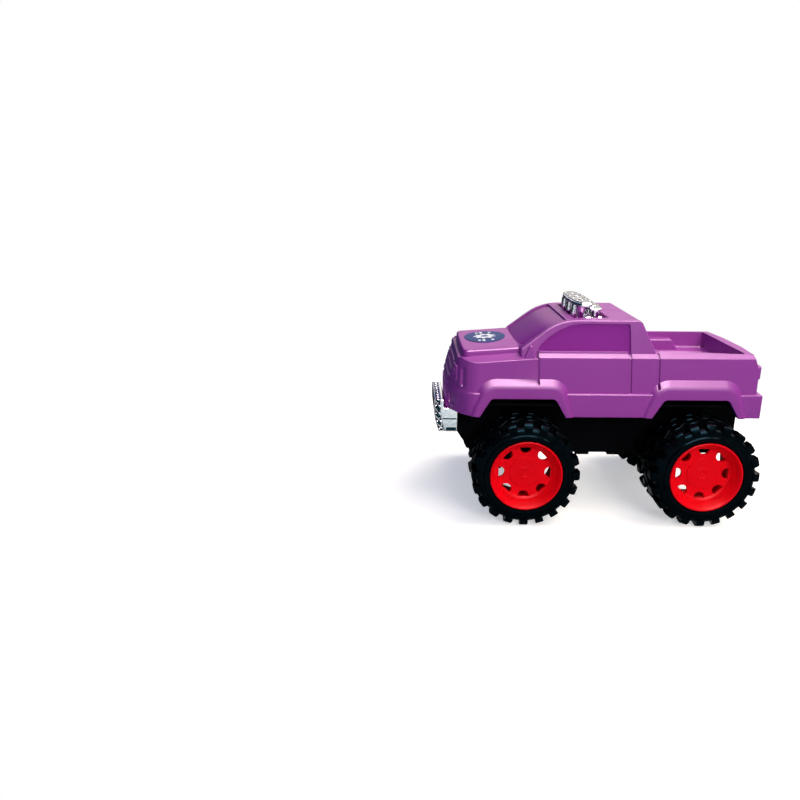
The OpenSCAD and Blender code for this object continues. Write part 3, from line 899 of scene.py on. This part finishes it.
def buildRim():
    r, wall, cap = wheel["bore"] - 0.02, wheel["wall"], wheel["capRadius"]
    front, back, bowl = -wheel["dish"], -wheel["dish"] - wheel["disc"], wheel["bowlShare"] * r
    face = [(x, front + z) for x, z in (
        (0, 0.55), (0.9, 0.55), (1.1, 0.8), (2.7, 0.85), (2.9, 1.1), (3.5, 1.1), (3.7, 0.9),
        (cap - 0.5, 0.8), (cap - 0.1, 0.65), (cap + 0.2, 0.1), (cap + 0.5, 0), (bowl - 0.9, 0),
        (bowl - 0.2, 0.25))]
    slant = []
    for share in (0.08, 0.16, 0.18, 0.30, 0.32, 0.46, 0.48, 0.80):  # low rings turned in the bowl
        step = 0.13 if share in (0.18, 0.32, 0.48) else 0.0
        slant.append((bowl + (r - 1.3 - bowl) * share + step, front - front * share - step))
    lip = [(r - 1.5, -0.9), (r - 1.25, -0.3), (r - 0.85, -0.02), (r - 0.4, -0.05), (r - 0.1, -0.3), (r, -0.8)]
    edge, hub, end, axle = 2 - wheel["width"], wheel["hubRadius"], wheel["hubEnd"], wheel["axleRadius"]
    barrel = [(r, edge), (r - wall, edge), (r - wall, -2.4), (bowl + 0.6, front - 1.4), (bowl, back)]
    boss = [(hub, back), (hub, end + 0.3), (hub - 0.3, end), (axle, end), (axle, back), (0.0, back)]
    bm = lathe(face + slant + lip + barrel + boss, 96)
    reach, centre = wheel["windowRadius"], wheel["windowShare"] * r
    window = combine(post(centre, 0, front - 5, -1, reach, 28),
                     cuboid((0, -2 * reach, front - 4), (wheel["flatShare"] * r, 2 * reach, -2)), "INTERSECT")
    bm = cutBy(bm, ringOf(window, wheel["windows"]))
    mouth = lambda e: (front - 0.1 < lowest(e) and highest(e) < front + 1.5
                       and cap + 0.6 < min(radii(e)) and max(radii(e)) < bowl + 1.5)
    return softenEdges(bm, 0.28, 50, mouth)


def buildWheels():
    outer = nodeBox("tyre_front_left")[1].y
    kinds = (("tyre", buildTyre(), tyrePlastic, "tyre_rubber"),
             ("rim", buildRim(), redPlastic, "rim_plastic"))
    for end, axle in (("front", frontAxle), ("rear", rearAxle)):
        for label, side in (("left", 1), ("right", -1)):
            for kind, shape, surface, slot in kinds:
                bm = placed(shape.copy(), Vector((axle.x, side * outer, axle.z)),
                            Matrix.Rotation(radians(-90 * side), 4, "X"))
                finishPiece(bm, f"{kind}.{end}_{label}", [surface], [f"{kind}_{end}_{label}"],
                            f"{end}_wheelset", 40)


buildWheels()


# push bar: a plated guard on the front of the tub, open behind

guard = {"gap": 0.3, "columns": 8, "rows": 4, "bar": 0.5, "truss": 4.2, "ledge": 9.0, "sweep": 3.4,
         "curve": 14.0}
guardLow, guardHigh = nodeBox("push_bar")


def guardFront(z):
    # the front sweeps back towards the foot
    return guardHigh.x - guard["sweep"] * (max(0.0, guardLow.z + guard["curve"] - z) / guard["curve"]) ** 1.8


def latticeBars(rows, columns):
    # crossed bars over the front, the ends and the top of the lattice
    bar, reach, bars = guard["bar"], guard["truss"], []

    def spot(y, z, behind=False):
        return guardFront(z) - bar - (reach - bar if behind else 0), y, z

    def addBar(*points):
        bars.append(pipe(points, bar, 8))

    first, last = columns[0], columns[-1]
    for z in rows:
        addBar(spot(first, z), spot(last, z))
    for z0, z1 in zip(rows, rows[1:]):
        for y0, y1 in zip(columns, columns[1:]):
            addBar(spot(y0, z0), spot(y1, z1))
            addBar(spot(y0, z1), spot(y1, z0))
        for y in (first, last):
            addBar(spot(y, z0), spot(y, (z0 + z1) / 2), spot(y, z1))
            addBar(spot(y, z0, True), spot(y, z1, True))
            addBar(spot(y, z0), spot(y, z1, True))
            addBar(spot(y, z1), spot(y, z0, True))
    for y0, y1 in zip(columns, columns[1:]):
        addBar(spot(y0, rows[-1]), spot(y1, rows[-1], True))
        addBar(spot(y1, rows[-1]), spot(y0, rows[-1], True))
    for z, level in ((rows[-1], guardHigh.z), (rows[0], guardLow.z)):
        x = spot(0, level, True)[0]
        addBar((x, first, z), (x, last, z))
    return bars


def buildGuard():
    half, bar, reach = guardHigh.y, guard["bar"], guard["truss"]
    back, foot, top = guardLow.x, guardLow.z, guardHigh.z
    stepX, stepZ = noseX + guard["gap"], bodyZ - guard["gap"]
    front = [foot + (top - 0.1 - foot) * i / 7 for i in range(8)]
    outline = [(back, foot)] + [(guardFront(z) - reach, z) for z in front] + [
        (stepX, top - 0.1), (stepX, stepZ), (back, stepZ)]
    bm = roundEdges(prism(outline, "y", -half, half), 0.5, sharp=30)
    paintedShade = []
    ledge = foot + guard["ledge"]
    for low, high in ((ledge - 0.5, ledge + 0.4), (foot + 0.7, foot + 3.1)):
        # a ledge line and a foot band run back from the lattice at each side, set in grooves filled with dark
        # plating as painted shade
        x0, x1 = back + 0.8, guardFront(low) - reach - 0.6
        bm = cutBy(bm, *pair(cuboid((x0, half - 0.5, low), (x1, half + 2, high))))
        paintedShade += pair(cuboid((x0 + 0.05, half - 0.8, low + 0.05), (x1 - 0.05, half - 0.25, high - 0.05)))
    # the core of the lattice, with its diamond openings, in dark plating that paints the shade between the
    # bars
    heights = [foot + 0.5 + (top - foot - 1.0) * i / 10 for i in range(11)]
    core = prism([(guardFront(z) - bar - 0.1, z) for z in heights]
                 + [(guardFront(z) - reach - 0.2, z) for z in reversed(heights)], "y", 0.5 - half, half - 0.5)
    pitchY, pitchZ = 2 * (half - bar) / guard["columns"], (top - foot - 2 * bar) / guard["rows"]
    rows = [foot + bar + k * pitchZ for k in range(guard["rows"] + 1)]
    columns = [bar - half + i * pitchY for i in range(guard["columns"] + 1)]
    holes = []
    for z in [row + 0.5 * pitchZ for row in rows[:-1]]:
        for y in [column + share * pitchY for column in columns[:-1] for share in (0.25, 0.75)]:
            diamond = [(y - 0.8, z), (y, z - 1.5), (y + 0.8, z), (y, z + 1.5)]
            holes.append(prism(diamond, "x", guardHigh.x - 5.4, guardHigh.x + 2))
    paintedShade.append(cutBy(core, join(holes)))
    finishPiece(join([bm] + latticeBars(rows, columns)), "pushBar", [plating], ["push_bar"])
    # the lattice core and the groove strips are one piece in dark plating, as painted shade
    finishPiece(join(paintedShade), "pushBarPaintedShade", [paintedShadePlating])


buildGuard()


# engine in the roof

engine = {"blockTop": 4.0, "plateTop": 14.4, "plateX": 9.6, "plateReach": 7.2, "plateHalf": 27.0,
          "plateThick": 3.2, "trayX": 1.4, "trayReach": 6.6, "trayHalf": 19.0, "trayTop": 9.4,
          # x of a row and where its pieces stand across the truck
          "barrels": (13.9, (-15.5, 0, 15.5)), "horns": (11.2, (-21.5, 21.5)),
          "rear": (1.0, (-17, -6, 6, 17))}


def lobedSlab(x0, reach, half, waves, depth, low, high, edge, rounds=3):
    # an oval plate whose edge swells and narrows along its length
    outline = []
    for i in range(64):
        sine, cosine = sin(pi * i / 32), cos(pi * i / 32)
        y = half * copysign(abs(sine) ** 0.9, sine)
        swell = (1 + depth * cos(pi * waves * y / half)) / (1 + depth)
        outline.append((x0 + reach * copysign(abs(cosine) ** 0.6, cosine) * swell, y))
    return roundEdges(prism(outline, "z", low, high), edge, rounds, sharp=40)


def standing(profile, x, y, z, steps=28):
    return placed(lathe(profile, steps), Vector((x, y, z)))


def bolt(x, y, low, high, radius, edge):
    return roundEdges(post(x, y, low, high, radius, 6), edge, 1, sharp=50)


def buildEngine():
    floor = roofZ - recess["depth"]
    top, deck, tray = floor + engine["plateTop"], floor + engine["blockTop"], floor + engine["trayTop"]
    plateX, reach, half = engine["plateX"], engine["plateReach"], engine["plateHalf"]
    under = top - engine["plateThick"]
    shapes = [roundEdges(cuboid((-3.4, -18, floor), (12.6, 18, deck)), 0.7)]
    for x in (0.6, 8.4):  # valve covers with their bolts
        cover = prism(arcPoints((x, deck - 0.4), 2.4, 0, 180, 10), "y", -17, 17)
        shapes.append(roundEdges(cover, 0.5, 2, sharp=60))
        shapes += [bolt(x, y, deck + 1.9, deck + 2.6, 0.8, 0.15) for y in (-12, -4, 4, 12)]
    high, low = under - floor + 0.4, tray - 1.2 - floor
    barrel = [(0, 0), (2.2, 0), (2.5, 0.5), (2.6, high * 0.55), (2.4, high), (0, high)]
    horn = [(0, 0), (1.2, 0), (1.2, 2.6), (1.6, 4.2),
            (3.0, high - 1.6), (3.5, high - 0.4), (3.4, high), (0, high)]
    rear = [(0, 0), (1.9, 0), (2.0, low * 0.6), (2.3, low), (0, low)]
    for profile, key in ((barrel, "barrels"), (horn, "horns"), (rear, "rear")):
        x, places = engine[key]
        shapes += [standing(profile, x, y, floor) for y in places]
    peak = (7.4, 23.5, floor + 7.2)  # thin pipes cross from horn to barrel at each end
    crossing = [(3.6, 22.5, floor), (3.8, 22.6, floor + 3.4), peak,
                (10.4, 23.6, floor + 2.8), (10.6, 23.4, floor)]
    branch = [peak, (7.0, 20.0, floor + 8.4), (6.6, 17.0, floor + 8.6)]
    shapes += pair(pipe(crossing, 0.6)) + pair(pipe(branch, 0.7))
    trayX = engine["trayX"]
    shapes += [lobedSlab(trayX, engine["trayReach"], engine["trayHalf"], 2, 0.10, tray - 1.7, tray, 0.6),
               lobedSlab(trayX + 2, 5.0, 15.0, 2, 0.0, tray - 0.2, tray + 1.3, 0.5),
               lobedSlab(plateX, reach, half, 4, 0.05, under, top - 0.6, 1.0, 4),
               lobedSlab(plateX, reach - 1.3, half - 1.5, 4, 0.04, top - 1.0, top, 0.5)]
    for y in (-18, -6, 6, 18):  # low bolts round the plate
        shapes += [bolt(plateX + x, y, top - 0.3, top + 0.3, 0.7, 0.12) for x in (-4.0, 4.0)]
    collar = [(1.3, -0.2), (2.6, -0.2), (2.6, 0.2), (2.2, 0.4), (1.7, 0.4), (1.3, 0.15), (1.3, -0.2)]
    stud = [(0, -0.3), (0.7, -0.3), (0.6, 0.35), (0, 0.35)]
    for y in (-12, 0, 12):
        shapes += [standing(collar, plateX, y, top), standing(stud, plateX, y, top, 16)]
    finishPiece(join(shapes), "roofEngine", [plating], ["roof_engine"])


buildEngine()


# chassis tub

tub = {"half": 22.0, "wall": 2.0, "lift": 0.5, "beam": 5.5, "deck": 2.0, "deckHalf": 37.5, "bore": 1.56,
       "screwX": (24.0, -19.0), "screwY": 12.0, "well": 2.7, "wellRoof": 5.0,
       "pads": ((-0.6, 8.5), (-24.0, -12.7)),
       "panels": ((-31, 4, 17, 17), (-26, 20.5, -10, 31), (-4, 20.5, 12, 31))}  # boxes, z from the foot
deckTop = tubHigh.z
tubFoot = frontAxle.z + tub["lift"]
screws = [(x, y) for x in (frontAxle.x + tub["screwX"][0], rearAxle.x + tub["screwX"][1])
          for y in (tub["screwY"], -tub["screwY"])]


def tubOutline(inset=0.0):
    top = deckTop + (1 if inset else 0)
    back, front = tubLow.x + inset, tubHigh.x - inset
    return [(back, top), (back, tubFoot + 16), (back + 7, tubFoot + inset), (front - 9, tubFoot + inset),
            (front, tubFoot + 13.6), (front, top)]


def axleRod(axle, y0, y1, radius, segments=40):
    return rod((axle.x, y0, axle.z), (axle.x, y1, axle.z), radius, segments)


def buildChassis():
    half, wall, beam = tub["half"], tub["wall"], tub["beam"]
    bm = roundEdges(prism(tubOutline(), "y", -half, half), 0.9, chosen=lambda e: lowest(e) < deckTop - 1)
    deckHalf = tub["deckHalf"]
    deck = cuboid((rearAxle.x - 29, -deckHalf, deckTop - tub["deck"]), (frontAxle.x + 29, deckHalf, deckTop))
    bm = united(bm, roundEdges(deck, 0.5, 2))
    bm = cutBy(bm, prism(tubOutline(wall), "y", wall - half, half - wall))
    for x0, z0, x1, z1 in tub["panels"]:  # shallow panels pressed in the flanks
        panel = softBlock((x0, tubFoot + z0, x1, tubFoot + z1), 1.6, "y", half - 0.7, half + 4)
        bm = cutBy(bm, *pair(panel))
    for x0, x1 in tub["pads"]:  # feet under the middle of the tub
        pad = cuboid((x0, -half + 0.3, tubFoot - 1.7), (x1, half - 0.3, tubFoot + 1))
        bm = united(bm, roundEdges(pad, 0.5, 2, chosen=lambda e: lowest(e) < tubFoot))
    bm = united(bm, cutBy(softBlock((-44, -11, -2, 11), 2, "z", tubFoot - 0.5, tubFoot + 0.5),
                          softBlock((-43, -10, -3, 10), 1.6, "z", tubFoot - 2, tubFoot + 0.6)))
    for axle in (frontAxle, rearAxle):
        reach = half + 2
        bar = roundEdges(axleRod(axle, -reach, reach, beam), 0.5, 2, sharp=60)
        web = cuboid((axle.x - beam, 0.2 - reach, axle.z), (axle.x + beam, reach - 0.2, axle.z + beam + wall))
        y0, y1 = half - 0.5, half + 1.2  # a knuckle boss and two gussets stand beside each hub
        bm = united(bm, web, bar, *pair(axleRod(axle, y0, y1, beam + 1.6)))
        for x in (axle.x - 9.5, axle.x + 9.5):
            bm = united(bm, *pair(cuboid((x - 0.8, y0, axle.z + 3), (x + 0.8, y1, deckTop - 3))))
        bm = cutBy(bm, axleRod(axle, -reach - 1, reach + 1, tub["bore"], 24))
    for x, y in screws:
        bm = united(bm, post(x, y, tubFoot + 0.5, deckTop, tub["well"] + wall, 28))
        bm = cutBy(bm, post(x, y, tubFoot - 1, deckTop - tub["wellRoof"], tub["well"], 28))
    finishPiece(softenEdges(bm, 0.25, 35), "chassisTub", [blackPlastic], ["chassis"])


def buildScrews():
    # pan heads with a cross recess at the bottom of each well
    profile = [(0, -1.7), (1.2, -1.55), (2.0, -1.0), (2.3, -0.3), (2.3, 0), (1.0, 0), (1.0, 4.6), (0, 4.6)]
    heads = []
    for x, y in screws:
        bar = cuboid((-1.3, -0.28, -3), (1.3, 0.28, -0.8))
        cross = united(bar, turned(bar.copy(), 90))
        heads.append(placed(cutBy(lathe(profile, 24), cross), Vector((x, y, deckTop - tub["wellRoof"]))))
    finishPiece(join(heads), "bodyScrews", [drawnSteel])


buildChassis()
buildScrews()
for name in ("front_axle", "rear_axle"):
    for k in range(len(frame["nodes"][name].data.materials)):
        frame["nodes"][name].data.materials[k] = drawnSteel


# floor, air, lamps and camera

studio = {"floorSize": 6.0, "lens": 33.71, "place": (0.1222, 0.4926, 0.2066), "pitch": 16.27, "yaw": 0.40,
          "roll": 0.34, "fadeFrom": 0.16, "fadeTo": 0.36, "floorGlow": 0.47, "floorFar": 0.06,
          "floorNear": 1.3, "floorColour": (0.90, 0.87, 0.82, 1), "floorBounce": (0.32, 0.35, 0.42, 1),
          "ambient": 0.46, "airColour": (1, 0.92, 0.86, 1), "farGlow": 1.4, "sideGlow": 0.9,
          "lowGlow": 0.3, "aheadAmbient": 0.30, "aheadColour": (0.06, 0.26, 1.0, 1), "aheadGlow": 0.10}
white = (1, 1, 1, 1)


def sheet(name, width, height, surface, matrix=Matrix()):
    bm = bmesh.new()
    bmesh.ops.create_grid(bm, x_segments=1, y_segments=1, size=0.5)
    bmesh.ops.scale(bm, vec=(width, height, 1), verts=bm.verts)
    bmesh.ops.transform(bm, matrix=matrix, verts=bm.verts)
    thing = asObject(bm, name)
    bm.free()
    thing.data.materials.append(surface)
    return thing


def facingPoint(place, aim):
    place = Vector(place)
    return Matrix.Translation(place) @ facing(place - Vector(aim))


def buildFloor():
    surface, tree, shader = newSurface("paleFloor", {"Roughness": 0.9, "Specular IOR Level": 0.1})
    path = addNode(tree, "LightPath").outputs
    spot = addNode(tree, "TexCoord").outputs["Object"]
    colour = blend(tree, "RGBA", path["Is Diffuse Ray"], studio["floorColour"], studio["floorBounce"])
    feed(tree, shader.inputs["Base Color"], colour)
    glow = addNode(tree, "Emission", white, product(tree, path["Is Camera Ray"], studio["floorGlow"]))
    near = addNode(tree, "AddShader", shader.outputs[0], glow.outputs[0])
    # away from the truck the floor goes over into plain white
    distance = addNode(tree, "VectorMath", spot, operation="LENGTH").outputs["Value"]
    fade = spread(tree, distance, 0, 1, studio["fadeFrom"], studio["fadeTo"])
    fade.node.interpolation_type = "SMOOTHSTEP"
    plain = addNode(tree, "Emission", white, 1.0)
    share = product(tree, fade, path["Is Camera Ray"])
    shown = addNode(tree, "MixShader", share, near.outputs[0], plain.outputs[0])
    # reflections see the floor bright on the near side only
    ahead = addNode(tree, "SeparateXYZ", spot).outputs["Y"]
    gleam = addNode(tree, "Emission", (0.92, 0.97, 1, 1),
                    spread(tree, ahead, studio["floorFar"], studio["floorNear"], -0.05, 0.30))
    last = addNode(tree, "MixShader", path["Is Glossy Ray"], shown.outputs[0], gleam.outputs[0])
    feed(tree, tree.nodes["Material Output"].inputs["Surface"], last.outputs[0])
    sheet("floor", 2 * studio["floorSize"], 2 * studio["floorSize"], surface)


def buildAir():
    world = bpy.data.worlds.new("studioAir")
    scene.world = world
    world.use_nodes = True
    tree = world.node_tree
    path = addNode(tree, "LightPath").outputs
    parts = addNode(tree, "SeparateXYZ", addNode(tree, "TexCoord").outputs["Generated"]).outputs
    # reflections see a bright far side, which is dim at the horizon and dim and blue ahead of the truck
    ahead = spread(tree, parts["X"], 0, 1, 0.0, 0.28)
    far = product(tree, spread(tree, parts["Y"], studio["farGlow"], studio["sideGlow"], -0.9, -0.1),
                  spread(tree, parts["Z"], studio["lowGlow"], 1.0, 0.10, 0.26))
    far = product(tree, far, spread(tree, ahead, 1.0, studio["aheadGlow"], 0, 1))
    around = spread(tree, ahead, studio["ambient"], studio["aheadAmbient"], 0, 1)
    strength = blend(tree, "FLOAT", path["Is Glossy Ray"], around, far)
    colour = blend(tree, "RGBA", ahead, studio["airColour"], studio["aheadColour"])
    air = tree.nodes["Background"].inputs
    feed(tree, air["Strength"], blend(tree, "FLOAT", path["Is Camera Ray"], strength, 1.0))
    feed(tree, air["Color"], blend(tree, "RGBA", path["Is Camera Ray"], colour, white))


lamps = {  # place, height it aims at over the middle of the floor, size, power and colour
    "overhead": ((-0.38, -0.02, 0.90), 0.06, 0.7, 8.2, (1, 0.90, 0.82)),
    "sheen": ((0.02, 0.42, 0.72), 0.06, 0.6, 34.0, (1, 0.80, 0.82)),
    "key": ((-0.25, 0.95, 0.55), 0.07, 0.45, 6.2, (1, 1, 1)),
    "rim": ((-0.9, -0.6, 0.6), 0.07, 0.6, 4.0, (1, 1, 1))}


def buildLamps():
    for name, (place, aimZ, size, power, colour) in lamps.items():
        light = bpy.data.lights.new(name, "AREA")
        light.size, light.energy, light.color = size, power, colour
        thing = bpy.data.objects.new(name, light)
        thing.visible_diffuse = name != "sheen"  # that one only shows as sheen
        scene.collection.objects.link(thing)
        thing.matrix_world = facingPoint(place, (0, 0, aimZ))


flags = {  # centre, what it faces, width and height
    "front": ((0.62, 0.10, 0.20), (0.05, 0.0, 0.06), 0.55, 0.36),
    "low": ((0.20, 0.62, 0.02), (0.02, 0.0, 0.06), 0.50, 0.10)}


def buildFlags():
    # dark cards that only reflections see, so that the plating has something to show
    surface = newSurface("darkCard", {"Base Color": (0.004, 0.018, 0.024, 1), "Roughness": 0.9})[0]
    for name, (centre, aim, width, height) in flags.items():
        thing = sheet(f"flag.{name}", width, height, surface, facingPoint(centre, aim))
        for ray in ("camera", "diffuse", "shadow", "transmission"):
            setattr(thing, "visible_" + ray, False)


def buildCamera():
    camera = bpy.data.objects.new("camera", bpy.data.cameras.new("camera"))
    scene.collection.objects.link(camera)
    camera.data.lens = studio["lens"]
    camera.data.clip_start = 0.01
    turn = Matrix()
    for angle, axis in ((180 + studio["yaw"], "Z"), (90 - studio["pitch"], "X"), (studio["roll"], "Z")):
        turn = turn @ Matrix.Rotation(radians(angle), 4, axis)
    camera.matrix_world = Matrix.Translation(studio["place"]) @ turn
    scene.camera = camera


buildFloor()
buildAir()
buildLamps()
buildFlags()
buildCamera()
scene.view_settings.view_transform = "Standard"
print("floor, air, lamps and camera ready")
